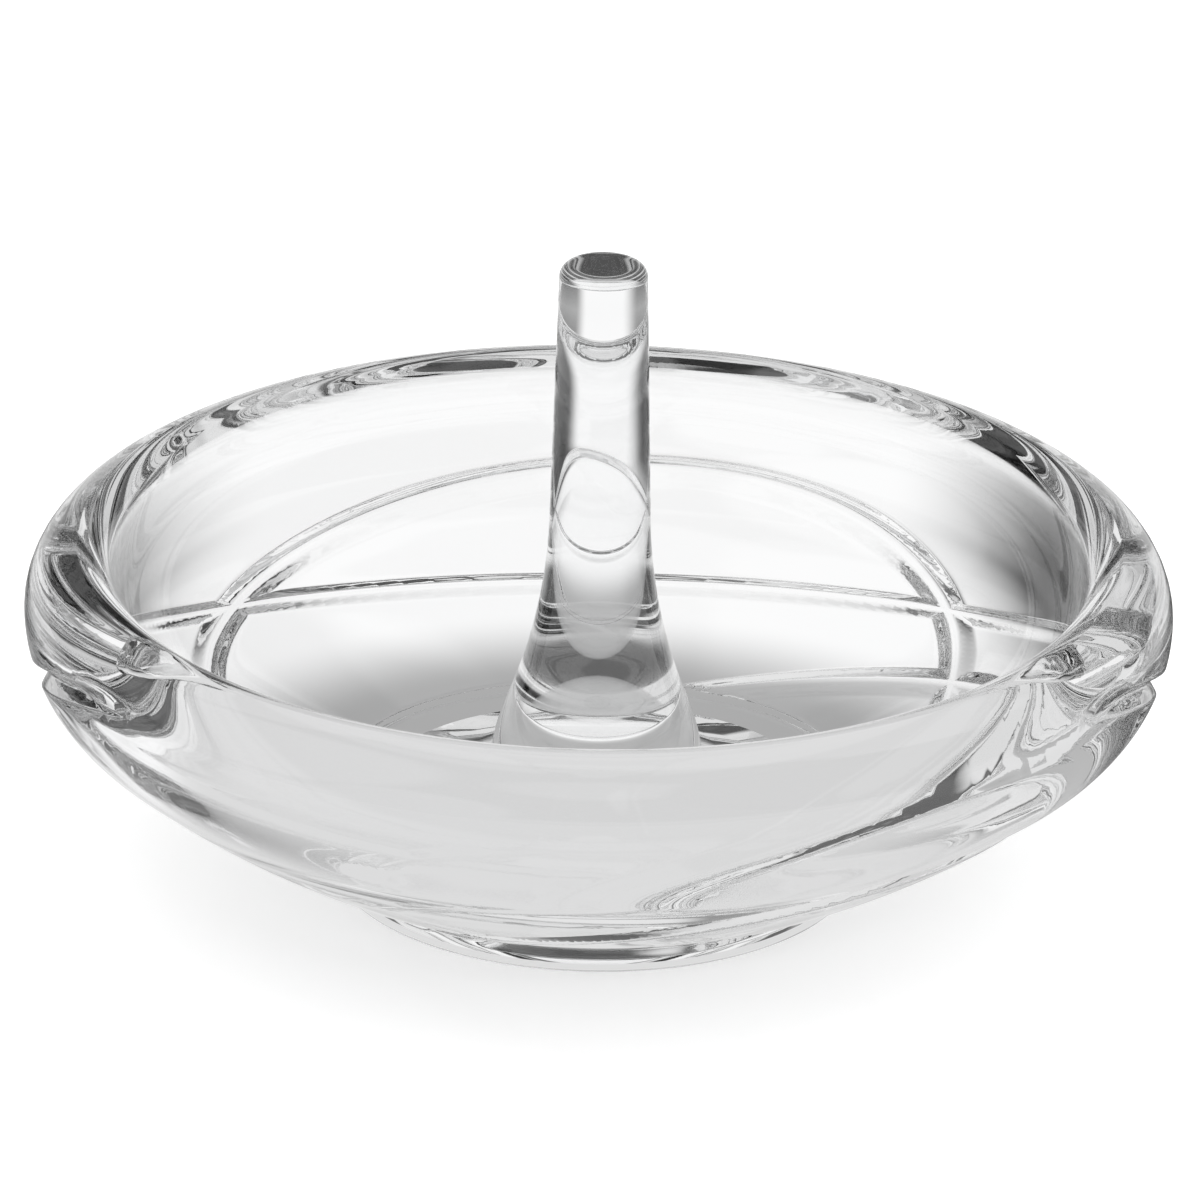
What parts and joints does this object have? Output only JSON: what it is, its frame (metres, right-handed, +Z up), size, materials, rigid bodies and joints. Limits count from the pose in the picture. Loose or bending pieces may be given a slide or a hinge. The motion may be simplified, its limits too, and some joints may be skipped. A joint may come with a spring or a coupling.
{
  "type": "ring dish",
  "caption": "Small round dish of clear crystal on a low foot, with a thick lip, crossing grooves on its outer wall and a central post for rings.",
  "frame": {"origin": "centre of the foot's rim, at the height of the ground", "axes": "+Z up along the post, -Y towards the front of the picture, +X to its right"},
  "size_m": [0.11, 0.11, 0.0623],
  "materials": {
    "dish_crystal": "clear, polished",
    "post_crystal": "clear, polished"
  },
  "bodies": {
    "root": {"dish": "dish_crystal", "ring_post": "post_crystal"}
  },
  "joints": []
}
